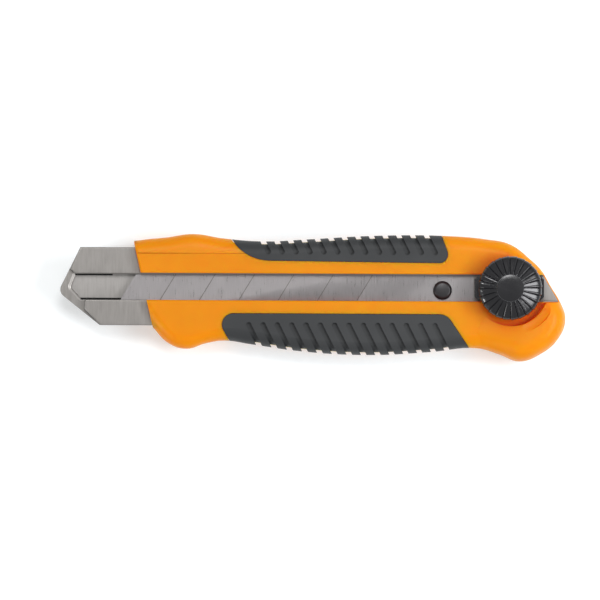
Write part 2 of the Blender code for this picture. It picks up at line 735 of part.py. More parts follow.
def make_wheel(material):
    """Lock wheel: turned body with radial flutes, a seat for the nut below and one for the cap above."""
    rim = WHEEL_RADIUS
    cap_floor = WHEEL_TOP - CAP_DEPTH
    seat = CAP_RADIUS + GAP
    nut_seat = NUT_RADIUS + GAP
    nut_top = WHEEL_UNDER + NUT_HEIGHT + 2 * GAP
    profile = [
        (0, cap_floor), (seat, cap_floor), (seat, WHEEL_TOP - 0.2 * MM), (seat + 0.4 * MM, WHEEL_TOP),
        (rim - 2.4 * MM, WHEEL_TOP - 0.5 * MM), (rim - 0.5 * MM, WHEEL_TOP - 1.4 * MM),
        (rim, WHEEL_TOP - 2.8 * MM), (rim, WHEEL_UNDER + 1.0 * MM), (rim - 1.0 * MM, WHEEL_UNDER),
        (nut_seat, WHEEL_UNDER), (nut_seat, nut_top), (0, nut_top),
    ]
    wheel = frozen(turned("lock_knob", profile, 2 * FLUTES, (X_WHEEL, 0, 0)), "lock_knob")
    for vertex in wheel.data.vertices:
        radius = math.hypot(vertex.co.x, vertex.co.y)
        column = round(math.atan2(vertex.co.y, vertex.co.x) * FLUTES / math.pi)
        if column % 2 == 0 or radius < seat + 0.2 * MM or vertex.co.z < WHEEL_UNDER + 0.5 * MM:
            continue
        if radius > rim - 1.0 * MM:
            vertex.co.x *= 1 - FLUTE_DEPTH / radius
            vertex.co.y *= 1 - FLUTE_DEPTH / radius
        if vertex.co.z > WHEEL_TOP - 2.0 * MM:
            vertex.co.z -= FLUTE_DEPTH
    return finish(wheel, material)


def make_cap(material):
    floor = WHEEL_TOP - CAP_DEPTH + GAP
    profile = [
        (0, WHEEL_TOP + 0.1 * MM), (CAP_RADIUS * 0.7, WHEEL_TOP), (CAP_RADIUS, WHEEL_TOP - 0.3 * MM),
        (CAP_RADIUS, floor), (0, floor),
    ]
    return finish(turned("knob_cap", profile, 32, (X_WHEEL, 0, 0)), material)


def hang_on(name, place, pieces):
    """An empty on a joint's axis that carries the pieces of one moving body."""
    empty = bpy.data.objects.new(name, None)
    KNIFE.objects.link(empty)
    empty.location = place
    bpy.context.view_layer.update()
    for piece in pieces:
        piece.parent = empty
        piece.matrix_parent_inverse = empty.matrix_world.inverted()


def build():
    orange = make_material("orange_plastic", (0.92, 0.31, 0.012), 0.38)
    rubber_upper = make_material("upper_rubber", (0.058, 0.061, 0.065), 0.62)
    rubber_lower = make_material("lower_rubber", (0.058, 0.061, 0.065), 0.62)
    carrier_steel = make_material("carrier_steel", (0.31, 0.30, 0.285), 0.36, 1.0)
    blade_steel = make_material("blade_steel", (0.33, 0.32, 0.315), 0.30, 1.0)
    black_plastic = make_material("black_plastic", (0.015, 0.015, 0.017), 0.22)
    black_steel = make_material("black_steel", (0.03, 0.028, 0.03), 0.35, 0.6)
    zinc_steel = make_material("zinc_steel", (0.52, 0.52, 0.50), 0.35, 1.0)
    brass = make_material("brass", (0.72, 0.52, 0.22), 0.32, 1.0)
    cover_plastic = make_material("cover_plastic", (0.045, 0.047, 0.05), 0.5)

    upper_slots = slot_cutters("upper", UPPER_SLOTS, UPPER_PITCH, -16.0, 12.6, 1)
    lower_slots = slot_cutters("lower", LOWER_SLOTS, LOWER_PITCH, -22.8, -13.6, -1)
    make_grip("upper_grip", UPPER_GRIP_EDGE, UPPER_GRIP_ROUNDS, upper_slots, rubber_upper)
    make_grip("lower_grip", LOWER_GRIP_EDGE, LOWER_GRIP_ROUNDS, lower_slots, rubber_lower)
    make_body(orange)
    make_cover(cover_plastic)
    make_carrier(carrier_steel)
    make_screws(zinc_steel)

    slider = [
        make_blade(blade_steel), make_pin(black_steel), make_clamp(carrier_steel),
        make_slide_block(black_plastic), make_stud(zinc_steel),
    ]
    washer = ring("thrust_washer", WASHER_RADIUS, STUD_RADIUS + GAP, WASHER_UNDER,
                  WASHER_UNDER + WASHER_THICKNESS, 32, zinc_steel)
    nut = ring("knob_nut", NUT_RADIUS, STUD_RADIUS + GAP, WHEEL_UNDER + GAP,
               WHEEL_UNDER + NUT_HEIGHT + GAP, 24, brass)
    hang_on("slider_axis", (X_WHEEL, 0, BLADE_UNDER), slider)
    hang_on("washer_axis", (X_WHEEL, 0, WASHER_UNDER), [washer])
    wheel = [make_wheel(black_plastic), nut, make_cap(black_plastic)]
    hang_on("wheel_axis", (X_WHEEL, 0, WHEEL_UNDER), wheel)


build()
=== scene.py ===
# %% [markdown]
# # Snap-off utility knife with a wheel lock
# The real tool is a moulded handle that holds a folded steel channel. A long snap-off blade runs in
# the channel, and a fluted wheel at the rear clamps the slider that pushes the blade. The working
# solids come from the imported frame; every visible surface here is built finer around them.

# %% Load the frame
import math

import bmesh
import bpy
from mathutils import Matrix, Vector


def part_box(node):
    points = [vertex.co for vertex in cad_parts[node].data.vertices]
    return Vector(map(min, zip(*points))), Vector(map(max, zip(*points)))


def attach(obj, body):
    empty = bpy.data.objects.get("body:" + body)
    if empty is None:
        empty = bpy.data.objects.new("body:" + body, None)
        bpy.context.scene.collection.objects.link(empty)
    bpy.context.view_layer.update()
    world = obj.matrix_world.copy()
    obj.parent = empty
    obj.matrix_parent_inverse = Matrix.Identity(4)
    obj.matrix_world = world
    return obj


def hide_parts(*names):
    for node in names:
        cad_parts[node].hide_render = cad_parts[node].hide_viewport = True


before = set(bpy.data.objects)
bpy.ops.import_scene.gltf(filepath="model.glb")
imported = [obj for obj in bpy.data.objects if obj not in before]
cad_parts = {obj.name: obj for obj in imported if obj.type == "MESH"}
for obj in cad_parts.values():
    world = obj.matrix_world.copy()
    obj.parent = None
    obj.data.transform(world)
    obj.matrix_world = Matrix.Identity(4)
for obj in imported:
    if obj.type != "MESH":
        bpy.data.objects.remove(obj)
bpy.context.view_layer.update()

MM = 0.001

# %% [markdown]
# ## Places read from the frame
# Every level and every axis comes from the solids that are already there, so the fine pieces sit
# exactly where the working ones do. The wheel's solid gives the pivot, the grips give the face's
# level, and the carrier gives the channel.

# %% Measure the working solids
wheel_low, wheel_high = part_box("lock_knob")
grip_low, grip_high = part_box("lower_grip")
carrier_low, carrier_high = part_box("blade_carrier")
blade_low, blade_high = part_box("blade")
block_low, block_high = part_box("slide_block")
pin_low, pin_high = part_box("blade_pin")

WHEEL = Vector(((wheel_low.x + wheel_high.x) / 2, (wheel_low.y + wheel_high.y) / 2, 0))
PIN = Vector(((pin_low.x + pin_high.x) / 2, (pin_low.y + pin_high.y) / 2, 0))
WHEEL_RADIUS = (wheel_high.x - wheel_low.x) / 2
WHEEL_TOP = wheel_high.z
WHEEL_UNDER = wheel_low.z
FACE = grip_high.z
GRIP_BOTTOM = grip_low.z
GAP = 0.3 * MM
SHEET = 1.0 * MM
NOSE = carrier_low.x
CARRIER_LENGTH = 175.0 * MM
CARRIER_REAR = NOSE + CARRIER_LENGTH
CARRIER_HALF = carrier_high.y
LIP_TOP = carrier_high.z
LIP_UNDER = LIP_TOP - SHEET
GROOVE_UNDER = carrier_low.z
GROOVE_FLOOR = GROOVE_UNDER + SHEET
BLADE_UNDER = blade_low.z
BLADE_TOP = blade_high.z
SHELF_TOP = BLADE_UNDER - GAP
SHELF_UNDER = SHELF_TOP - SHEET
SLOT_HALF = block_high.y + GAP
GROOVE_HALF = SLOT_HALF - 0.5 * MM
EDGE_ROUND = 4.5 * MM
FAR = 0.25
WELD = 0.001 * MM
print("face at", round(FACE / MM, 2), "mm, wheel at", round(WHEEL.x / MM, 2), "mm")

# %% [markdown]
# ## Workshop helpers
# A moulded handle is drawn as a flat outline and given depth. The same few moves come back for
# every piece: pull a flat outline up into a slab, turn a profile, and carve one solid with others.
# Each move is a short function, so a piece reads as a list of steps.

# %% Helpers for simple solids
def linked(name, data):
    """A new object in the scene that holds the data."""
    obj = bpy.data.objects.new(name, data)
    bpy.context.scene.collection.objects.link(obj)
    return obj


def settled(obj, name):
    """A plain mesh object with the shape that obj shows, its loose caps welded."""
    bpy.context.view_layer.update()
    seen = obj.evaluated_get(bpy.context.evaluated_depsgraph_get())
    mesh = bpy.data.meshes.new_from_object(seen)
    place = obj.matrix_world.copy()
    bpy.data.objects.remove(obj, do_unlink=True)
    shape = bmesh.new()
    shape.from_mesh(mesh)
    bmesh.ops.transform(shape, matrix=place, verts=shape.verts)
    bmesh.ops.remove_doubles(shape, verts=shape.verts, dist=WELD)
    shape.to_mesh(mesh)
    shape.free()
    return linked(name, mesh)


def slab(name, points, low, high, soft=0.0, steps=3):
    """A flat outline pulled up between two levels, its edges rounded by soft."""
    curve = bpy.data.curves.new(name, "CURVE")
    curve.dimensions = "2D"
    curve.fill_mode = "BOTH"
    curve.extrude = (high - low) / 2 - soft
    curve.bevel_depth = soft
    curve.bevel_resolution = steps
    curve.offset = -soft
    spline = curve.splines.new("POLY")
    spline.points.add(len(points) - 1)
    for point, (x, y) in zip(spline.points, points):
        point.co = (x, y, 0, 1)
    spline.use_cyclic_u = True
    obj = linked(name, curve)
    obj.location.z = (low + high) / 2
    return settled(obj, name)


def brick(name, x_range, y_range, z_range):
    """A box between two values on each axis."""
    shape = bmesh.new()
    bmesh.ops.create_cube(shape, size=1.0)
    limits = (x_range, y_range, z_range)
    size = Vector([high - low for low, high in limits])
    middle = Vector([(high + low) / 2 for low, high in limits])
    place = Matrix.Translation(middle) @ Matrix.Diagonal((*size, 1.0))
    bmesh.ops.transform(shape, matrix=place, verts=shape.verts)
    mesh = bpy.data.meshes.new(name)
    shape.to_mesh(mesh)
    shape.free()
    return linked(name, mesh)


def lathe(name, profile, steps, centre):
    """A profile of (radius, height), from the axis at the top to the axis at the bottom, turned."""
    mesh = bpy.data.meshes.new(name)
    edges = [(i, i + 1) for i in range(len(profile) - 1)]
    mesh.from_pydata([(radius, 0, height) for radius, height in profile], edges, [])
    obj = linked(name, mesh)
    screw = obj.modifiers.new("turn", "SCREW")
    screw.steps = steps
    screw.render_steps = steps
    screw.use_merge_vertices = True
    screw.merge_threshold = WELD
    obj.location = (centre[0], centre[1], 0)
    return settled(obj, name)


# %% Helpers for carving and joining
def carved(target, cutters, operation="DIFFERENCE"):
    """Target with all the cutters taken away, added, or with only what they share kept."""
    group = bpy.data.collections.new(target.name + "_tools")
    for cutter in cutters:
        group.objects.link(cutter)
    cut = target.modifiers.new("cut", "BOOLEAN")
    cut.operation = operation
    cut.solver = "EXACT"
    if len(cutters) == 1:
        cut.object = cutters[0]
    else:
        cut.operand_type = "COLLECTION"
        cut.collection = group
    result = settled(target, target.name)
    for cutter in cutters:
        bpy.data.objects.remove(cutter, do_unlink=True)
    bpy.data.collections.remove(group)
    return result


def joined(pieces):
    """Separate solids gathered in one object."""
    first, *others = pieces
    shape = bmesh.new()
    shape.from_mesh(first.data)
    for other in others:
        shape.from_mesh(other.data)
        bpy.data.objects.remove(other, do_unlink=True)
    shape.to_mesh(first.data)
    shape.free()
    return first


def softened(obj, width):
    """Small rounds on every crisp edge, as tumbling or wear leaves them."""
    edge = obj.modifiers.new("soft_edges", "BEVEL")
    edge.width = width
    edge.segments = 3
    edge.limit_method = "ANGLE"
    edge.angle_limit = math.radians(40)
    return settled(obj, obj.name)


def loft(name, rings, levels):
    """A closed solid through matching outlines, one at each level, bottom to top."""
    shape = bmesh.new()
    rows = [[shape.verts.new((x, y, level)) for x, y in ring] for ring, level in zip(rings, levels)]
    count = len(rows[0])
    shape.faces.new(rows[0][::-1])
    shape.faces.new(rows[-1])
    for low, high in zip(rows, rows[1:]):
        for i in range(count):
            j = (i + 1) % count
            shape.faces.new((low[i], low[j], high[j], high[i]))
    bmesh.ops.recalc_face_normals(shape, faces=shape.faces)
    mesh = bpy.data.meshes.new(name)
    shape.to_mesh(mesh)
    shape.free()
    return linked(name, mesh)


# %% Helpers for flat outlines
def arc(centre, radius, start, end, steps):
    """Points on an arc in a plane, angles in degrees."""
    angles = [math.radians(start + (end - start) * i / steps) for i in range(steps + 1)]
    return [(centre[0] + radius * math.cos(a), centre[1] + radius * math.sin(a)) for a in angles]


def rounded(points, radii, steps=10):
    """The corners of a polygon turned into arcs, with radii in mm. A radius of 0 keeps a corner."""
    result = []
    for i, radius in enumerate(radii):
        corner = Vector(points[i])
        if radius == 0:
            result.append(tuple(corner))
            continue
        before = (Vector(points[i - 1]) - corner).normalized()
        after = (Vector(points[(i + 1) % len(points)]) - corner).normalized()
        half = before.angle(after) / 2
        middle = corner + (before + after).normalized() * (radius * MM / math.sin(half))
        start = corner + before * (radius * MM / math.tan(half)) - middle
        sweep = start.angle_signed(corner + after * (radius * MM / math.tan(half)) - middle)
        for step in range(steps + 1):
            arm = start.copy()
            arm.rotate(Matrix.Rotation(-sweep * step / steps, 2))
            result.append(tuple(middle + arm))
    return result


def grown(points, distance):
    """A polygon with every side moved outwards by distance."""
    turn = sum(a[0] * b[1] - b[0] * a[1] for a, b in zip(points, points[1:] + points[:1]))
    side = -1 if turn > 0 else 1
    result = []
    for i in range(len(points)):
        before, here, after = (Vector(points[(i + k) % len(points)]) for k in (-1, 0, 1))
        normal_in = (here - before).orthogonal().normalized() * side
        normal_out = (after - here).orthogonal().normalized() * side
        middle = (normal_in + normal_out).normalized()
        result.append(tuple(here + middle * (distance / middle.dot(normal_in))))
    return result


def in_metres(points):
    """Points measured in mm, in Blender's metres."""
    return [(x * MM, y * MM) for x, y in points]


# %% Helpers for finishing a piece
FLAT_FACES_FIRST = 80


def smoothed(obj, angle):
    """Smooth shading that keeps real corners crisp and flats flat."""
    obj.data.shade_smooth()
    obj.data.set_sharp_from_angle(angle=math.radians(angle))
    flat = obj.modifiers.new("flats", "WEIGHTED_NORMAL")
    flat.keep_sharp = True
    flat.weight = FLAT_FACES_FIRST


def fitted(obj, body, node, material, angle=35):
    """Finish a fine piece: material, smooth faces, its body, and the working solid it replaces."""
    obj.data.materials.clear()
    obj.data.materials.append(material)
    smoothed(obj, angle)
    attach(obj, body)
    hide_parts(node)
    count = sum(len(face.vertices) - 2 for face in obj.data.polygons)
    print(obj.name, "stands for", node, "with", count, "triangles")


# %% [markdown]
# ## Finishes
# The handle is satin plastic with a very fine moulded grain. Its colour drifts a little, as pigment
# does, and it lets some light in under the surface. The grips are matte rubber, the channel and the
# blade are ground steel with fine marks, and the wheel is glossy black plastic. Each finish is a few
# noise nodes feeding colour, roughness and a shallow bump, and object coordinates set their scale.

# %% Helpers for finishes
def link(material, value, socket):
    """Feed a node's output into a socket of another node."""
    material.node_tree.links.new(value, socket)


def new_finish(name, roughness, metallic=0.0):
    """A material with its shader, and the object coordinates that its nodes start from."""
    material = bpy.data.materials.new(name)
    material.use_nodes = True
    nodes = material.node_tree.nodes
    shader = nodes["Principled BSDF"]
    shader.inputs["Roughness"].default_value = roughness
    shader.inputs["Metallic"].default_value = metallic
    place = nodes.new("ShaderNodeTexCoord")
    return material, shader, place


def stretched(material, place, scale):
    """Object coordinates scaled per axis, in marks per metre."""
    mapping = material.node_tree.nodes.new("ShaderNodeMapping")
    mapping.inputs["Scale"].default_value = scale
    link(material, place.outputs["Object"], mapping.inputs["Vector"])
    return mapping.outputs["Vector"]


def noise(material, vector, detail, roughness=0.55):
    """A noise value from 0 to 1, with detail as the number of finer layers."""
    node = material.node_tree.nodes.new("ShaderNodeTexNoise")
    node.inputs["Scale"].default_value = 1.0
    node.inputs["Detail"].default_value = detail
    node.inputs["Roughness"].default_value = roughness
    link(material, vector, node.inputs["Vector"])
    return node.outputs["Fac"]


def ramp(material, value, stops):
    """A value turned into a colour that runs between stops of (value, colour)."""
    node = material.node_tree.nodes.new("ShaderNodeValToRGB")
    elements = node.color_ramp.elements
    while len(elements) < len(stops):
        elements.new(0.5)
    for element, (position, colour) in zip(elements, stops):
        element.position = position
        element.color = (*colour, 1.0)
    link(material, value, node.inputs["Fac"])
    return node.outputs["Color"]


def spread(material, value, low, high, start=0.3, end=0.7):
    """A value that runs from start to end, as noise mostly does, moved into low to high."""
    node = material.node_tree.nodes.new("ShaderNodeMapRange")
    node.inputs["From Min"].default_value = start
    node.inputs["From Max"].default_value = end
    node.inputs["To Min"].default_value = low
    node.inputs["To Max"].default_value = high
    link(material, value, node.inputs["Value"])
    return node.outputs["Result"]


def bump(material, shader, height, depth, strength):
    """Relief from a height value, with its depth in metres."""
    node = material.node_tree.nodes.new("ShaderNodeBump")
    node.inputs["Strength"].default_value = strength
    node.inputs["Distance"].default_value = depth
    link(material, height, node.inputs["Height"])
    link(material, node.outputs["Normal"], shader.inputs["Normal"])


# %% Plastic and rubber finishes
def moulded_plastic(name, dark, light, roughness, grain_depth, grain, shine=0.5):
    """Pigmented plastic: slow colour drift, fine grain in marks per metre, slightly uneven gloss."""
    material, shader, place = new_finish(name, roughness)
    shader.inputs["Specular IOR Level"].default_value = shine
    drift = noise(material, stretched(material, place, (28, 28, 28)), 3.0)
    link(material, ramp(material, drift, [(0.35, dark), (0.65, light)]), shader.inputs["Base Color"])
    fine = noise(material, stretched(material, place, (grain, grain, grain)), 3.0)
    handling = noise(material, stretched(material, place, (110, 160, 160)), 5.0)
    gloss = spread(material, handling, roughness - 0.05, roughness + 0.06)
    link(material, gloss, shader.inputs["Roughness"])
    bump(material, shader, fine, grain_depth, 0.5)
    return material


orange_plastic = moulded_plastic(
    "orange_plastic", (0.640, 0.216, 0.0008), (0.680, 0.238, 0.0014), 0.40, 0.008 * MM, 5200, 0.14)
grip_rubber = moulded_plastic(
    "grip_rubber", (0.023, 0.0245, 0.026), (0.030, 0.0315, 0.033), 0.55, 0.022 * MM, 3600, 0.32)
cover_plastic = moulded_plastic(
    "cover_plastic", (0.040, 0.042, 0.046), (0.050, 0.052, 0.056), 0.48, 0.035 * MM, 2600)
black_plastic = moulded_plastic(
    "black_plastic", (0.005, 0.005, 0.006), (0.008, 0.008, 0.010), 0.21, 0.003 * MM, 4200, 0.58)
print("moulded finishes ready")

# %% [markdown]
# ## Depth in the orange plastic
# Bright plastic lets light in, so its shadows glow. Subsurface scattering does that, and red light
# goes furthest. On top of that, painted shade darkens the base colour towards red in corners, where
# light bounced between orange walls would come out redder, most in the hollow round the wheel. The
# ambient occlusion node finds such corners, and a mask on the height leaves the foot of the handle
# unpainted, because the white table lights it.

# %% Orange plastic in depth
PLASTIC_GLOW = (0.007, 0.0016, 0.0004)
# Painted shade: a darker, redder orange blended into the base colour in corners, with its reach and the
# height where it starts.
PAINTED_SHADE_ORANGE = (0.74, 0.085, 0.003)
PAINTED_SHADE_REACH = 12 * MM
FOOT_TOP = 11 * MM
PAINTED_SHADE_FROM = 14 * MM


def glowing(shader, weight):
    """Let light into the surface, red the furthest."""
    shader.inputs["Subsurface Weight"].default_value = weight
    shader.inputs["Subsurface Radius"].default_value = PLASTIC_GLOW
    shader.inputs["Subsurface Scale"].default_value = 1.0


def painted_corner_shade(material, shader):
    """Painted shade: blend the base colour to a darker red where walls stand close together."""
    nodes = material.node_tree.nodes
    place = nodes.new("ShaderNodeTexCoord")
    axes = nodes.new("ShaderNodeSeparateXYZ")
    link(material, place.outputs["Object"], axes.inputs["Vector"])
    foot = spread(material, axes.outputs["Z"], 1.0, 0.0, FOOT_TOP, PAINTED_SHADE_FROM)
    openness = nodes.new("ShaderNodeAmbientOcclusion")
    openness.samples = 12
    openness.inputs["Distance"].default_value = PAINTED_SHADE_REACH
    painted_shade_mask = ramp(material, openness.outputs["AO"], [(0.35, (0, 0, 0)), (0.92, (1, 1, 1))])
    plain = nodes.new("ShaderNodeMath")
    plain.operation = "MAXIMUM"
    link(material, painted_shade_mask, plain.inputs[0])
    link(material, foot, plain.inputs[1])
    blend = nodes.new("ShaderNodeMix")
    blend.data_type = "RGBA"
    blend.inputs["A"].default_value = (*PAINTED_SHADE_ORANGE, 1.0)
    link(material, plain.outputs["Value"], blend.inputs["Factor"])
    link(material, shader.inputs["Base Color"].links[0].from_socket, blend.inputs["B"])
    link(material, blend.outputs["Result"], shader.inputs["Base Color"])


orange_shader = orange_plastic.node_tree.nodes["Principled BSDF"]
glowing(orange_shader, 0.75)
# The orange base colour carries painted shade in its corners.
painted_corner_shade(orange_plastic, orange_shader)
print("orange plastic reddens in corners within", round(PAINTED_SHADE_REACH / MM), "mm")

# %% [markdown]
# ## Metal finishes
# Rolled and ground sheet has fine marks that all run one way. Noise that is stretched far along one
# axis draws them, in colour, roughness and bump at once. A second, slow noise clouds the colour. The
# channel is a dull coated steel, so it is only partly metallic, and the blade is bare ground steel.

# %% Metals
def ground_metal(name, dark, light, roughness, marks, depth, metallic=1.0):
    """Ground sheet: marks drawn out along one axis, in colour, roughness and bump."""
    material, shader, place = new_finish(name, roughness, metallic)
    lines = noise(material, stretched(material, place, marks), 6.0, 0.7)
    clouds = noise(material, stretched(material, place, (45, 70, 70)), 3.0)
    tint = material.node_tree.nodes.new("ShaderNodeMix")
    tint.data_type = "RGBA"
    tint.inputs["Factor"].default_value = 0.35
    link(material, ramp(material, lines, [(0.30, dark), (0.70, light)]), tint.inputs["A"])
    link(material, ramp(material, clouds, [(0.30, dark), (0.70, light)]), tint.inputs["B"])
    link(material, tint.outputs["Result"], shader.inputs["Base Color"])
    wear = spread(material, lines, roughness - 0.07, roughness + 0.08)
    link(material, wear, shader.inputs["Roughness"])
    bump(material, shader, lines, depth, 0.6)
    return material


SHEET_MARKS = (1700, 130, 1700)
COATED = 0.55
carrier_steel = ground_metal(
    "carrier_steel", (0.198, 0.187, 0.175), (0.268, 0.254, 0.240), 0.36, SHEET_MARKS, 0.006 * MM, COATED)
# Lighter copy of the channel steel for the groove floor: painted light that brightens the recessed floor.
groove_lit_steel = ground_metal(
    "groove_lit_steel", (0.255, 0.243, 0.231), (0.330, 0.315, 0.302), 0.36, SHEET_MARKS, 0.006 * MM, COATED)
# Near-black finish for the inside of the narrow slits: painted shade for their dark depth.
painted_slit_shade = ground_metal(
    "painted_slit_shade", (0.004, 0.004, 0.004), (0.008, 0.008, 0.008), 0.70, (900, 900, 900), 0.004 * MM, 0.0)
blade_steel = ground_metal(
    "blade_steel", (0.262, 0.250, 0.252), (0.312, 0.298, 0.300), 0.32, (3400, 160, 3400), 0.0015 * MM)
# Darker steel for the floors and walls of the score lines: painted shade in the creases.
score_shade_steel = ground_metal(
    "score_shade_steel", (0.125, 0.115, 0.110), (0.215, 0.200, 0.192), 0.45, (900, 220, 900), 0.004 * MM)
black_steel = ground_metal(
    "black_steel", (0.020, 0.019, 0.020), (0.034, 0.032, 0.034), 0.34, (2400, 2400, 600), 0.006 * MM, 0.5)
screw_steel = ground_metal(
    "screw_steel", (0.47, 0.47, 0.45), (0.60, 0.60, 0.57), 0.30, (2200, 2200, 300), 0.006 * MM)
brass = ground_metal(
    "brass", (0.66, 0.46, 0.18), (0.76, 0.56, 0.25), 0.30, (2600, 2600, 400), 0.006 * MM)
print("metal finishes ready")

# %% [markdown]
# ## The handle's outline
# The handle's edge is one smooth closed curve: a swelling for the first finger, a waist, a long
# palm swell and a hooked heel. A Bezier curve with automatic handles runs through a few chosen
# points, and its bevel gives the well rounded edge. It runs on past the front, and a flat cut
# makes the front face, because that is how the real moulding ends.

# %% Body form
BODY_EDGE = in_metres([
    (-76.0, 8.0), (-70.0, 14.6), (-61.0, 16.5), (-52.6, 17.4), (-42.5, 18.7), (-32.0, 17.2),
    (-18.0, 16.2), (-2.0, 17.0), (22.0, 18.4), (45.8, 18.5), (62.0, 17.3), (70.1, 15.6),
    (77.2, 10.4), (81.6, 6.0), (84.6, 0.9), (88.2, -5.2), (89.9, -11.0), (87.3, -18.0),
    (81.0, -23.5), (73.6, -26.1), (66.7, -23.7), (58.5, -21.5), (42.0, -22.9), (20.3, -24.1),
    (-4.0, -22.9), (-22.4, -20.4), (-31.5, -19.2), (-38.0, -20.2), (-45.0, -22.2), (-51.4, -20.2),
    (-56.6, -15.0), (-63.0, -7.0), (-71.0, -2.0),
])
POINTS_PER_SPAN = 7
ROUND_STEPS = 5
print("the handle's edge runs through", len(BODY_EDGE), "points")


def body_form(name, low, high, inset, soft):
    """The handle's outline as a slab with rounded edges, drawn in by inset."""
    curve = bpy.data.curves.new(name, "CURVE")
    curve.dimensions = "2D"
    curve.fill_mode = "BOTH"
    curve.resolution_u = POINTS_PER_SPAN
    curve.extrude = (high - low) / 2 - soft
    curve.bevel_depth = soft
    curve.bevel_resolution = ROUND_STEPS
    curve.offset = -(inset + soft)
    spline = curve.splines.new("BEZIER")
    spline.bezier_points.add(len(BODY_EDGE) - 1)
    for point, (x, y) in zip(spline.bezier_points, BODY_EDGE):
        point.co = (x, y, 0)
        point.handle_left_type = "AUTO"
        point.handle_right_type = "AUTO"
    spline.use_cyclic_u = True
    obj = linked(name, curve)
    obj.location.z = (low + high) / 2
    return settled(obj, name)


# %% [markdown]
# ## Heel and scoop
# Behind the wheel the handle rises into a heel, so that the thumb finds the wheel in a hollow. The
# heel is the same outline carried higher, remeshed into even small faces, and then let down towards
# the front along a smooth S-curve, so its rounded edge follows the rise. The hollow is turned round
# the wheel's own axis: a steep wall, a gentle band and a soft crest.

# %% Heel
SCOOP_RADIUS = 13.3 * MM
HEEL_RISE = 4.4 * MM
HEEL_FOOT = 9.0 * MM
HEEL_RUN = 24.0 * MM
HEEL_START = 2.0 * MM
HEEL_SINK = 0.06 * MM
HEEL_INSET = 0.35 * MM
HEEL_ROUND = 6.0 * MM
HEEL_GRID = 0.5 * MM
HEEL_TURN = math.radians(-38)


def scoop():
    """The hollow round the wheel's axis, as a turned cutter."""
    wall = [(SCOOP_RADIUS + 0.75 * MM * (1 - math.cos(a)), FACE + 2.7 * MM * math.sin(a))
            for a in [math.pi / 2 * i / 6 for i in range(7)]]
    band = [(wall[-1][0] + 2.6 * MM * t, wall[-1][1] + 0.75 * MM * t ** 1.6) for t in (0.35, 0.7, 1.0)]
    profile = [(0, FAR), (band[-1][0] + 1.8 * MM, FAR), (band[-1][0] + 0.9 * MM, FACE + 4.6 * MM)]
    profile += band[::-1] + wall[::-1] + [(SCOOP_RADIUS, 0), (0, 0)]
    return lathe("scoop", profile, 128, WHEEL)


def heel_height(x, y):
    """How far the heel stands above the face, or just below it where there is no heel."""
    way = Vector((math.cos(HEEL_TURN), math.sin(HEEL_TURN)))
    run = (Vector((x, y)) - WHEEL.xy).dot(way) + HEEL_START
    share = min(max(run / HEEL_RUN, 0.0), 1.0) if y < 0 else 0.0
    return (HEEL_RISE + HEEL_SINK) * share * share * (3 - 2 * share) - HEEL_SINK


def heel():
    """The rear of the handle's form, let down towards the front and hollowed round the wheel."""
    form = body_form("heel", HEEL_FOOT, FACE + HEEL_RISE, HEEL_INSET, HEEL_ROUND)
    side = brick("heel_side", (WHEEL.x - 14 * MM, FAR), (-FAR, 0), (0, FAR))
    form = carved(form, [side], "INTERSECT")
    grid = form.modifiers.new("even_faces", "REMESH")
    grid.mode = "VOXEL"
    grid.voxel_size = HEEL_GRID
    form = settled(form, "heel")
    whole = FACE + HEEL_RISE - HEEL_FOOT
    for vertex in form.data.vertices:
        part = (vertex.co.z - HEEL_FOOT) / whole
        vertex.co.z = HEEL_FOOT + part * (FACE + heel_height(vertex.co.x, vertex.co.y) - HEEL_FOOT)
    ease = form.modifiers.new("ease", "SMOOTH")
    ease.iterations = 4
    form = settled(form, "heel")
    return carved(form, [scoop()])


# %% [markdown]
# ## Soft grips
# Each grip is a layer of the handle's own rounded form, cut to its edge on the face. Slanted slots
# with round inner ends run out over the side. Building it from the same outline makes the rubber
# flow on from the plastic without a step, with only a fine dark parting line between them. Each
# corner of an edge has its own radius, in mm, and the slots are placed in mm too.

# %% Grip shapes
UPPER_EDGE = in_metres([
    (-31.5, 20.6), (-23.9, 9.5), (49.2, 8.8), (44.6, 21.5), (44.6, 30.0), (-31.5, 30.0),
])
UPPER_ROUNDS = [0, 16, 3, 0, 0, 0]
LOWER_EDGE = in_metres([
    (-35.2, -9.5), (47.6, -9.5), (57.6, -24.3), (57.6, -36.0), (-28.6, -36.0), (-28.6, -21.0),
])
LOWER_ROUNDS = [4, 5, 0, 0, 0, 0]
GRIP_THICKNESS = 1.5 * MM
PARTING = 0.15 * MM
SLOT_WIDTH = 2.0 * MM
SLOT_DEPTH = 1.0 * MM
SLOT_TILT = math.radians(27)
SLOT_REACH = 24 * MM


def slot_row(name, count, pitch, first_x, inner_y, side):
    """Slanted slots as separate solids, each with a round inner end."""
    half = SLOT_WIDTH / 2
    out = side * SLOT_REACH
    lean = math.tan(SLOT_TILT) * out
    slots = []
    for i in range(count):
        x = (first_x + i * pitch) * MM
        y = inner_y * MM
        end = [(px, y - side * (py - y)) for px, py in arc((x, y), half, 0, 180, 10)]
        points = end + [(x - half - lean, y + out), (x + half - lean, y + out)]
        slots.append(slab(f"{name}_{i}", points, GRIP_BOTTOM - GAP, FACE + GAP))
    return slots


def under_skin(name, skin):
    """The handle's form without its outer skin."""
    return body_form(name, skin, FACE - skin, skin, EDGE_ROUND - skin)


def grip(name, edge, rounds, slots):
    """A layer of the handle's form, cut to its edge, with slots down to an even depth."""
    form = body_form(name, 0, FACE, 0, EDGE_ROUND)
    region = slab(name + "_region", rounded(edge, rounds), GRIP_BOTTOM, FACE + GAP)
    form = carved(form, [region], "INTERSECT")
    form = carved(form, [under_skin(name + "_core", GRIP_THICKNESS)])
    floor = under_skin(name + "_floor", SLOT_DEPTH)
    return carved(form, [carved(joined(slots), [floor])])


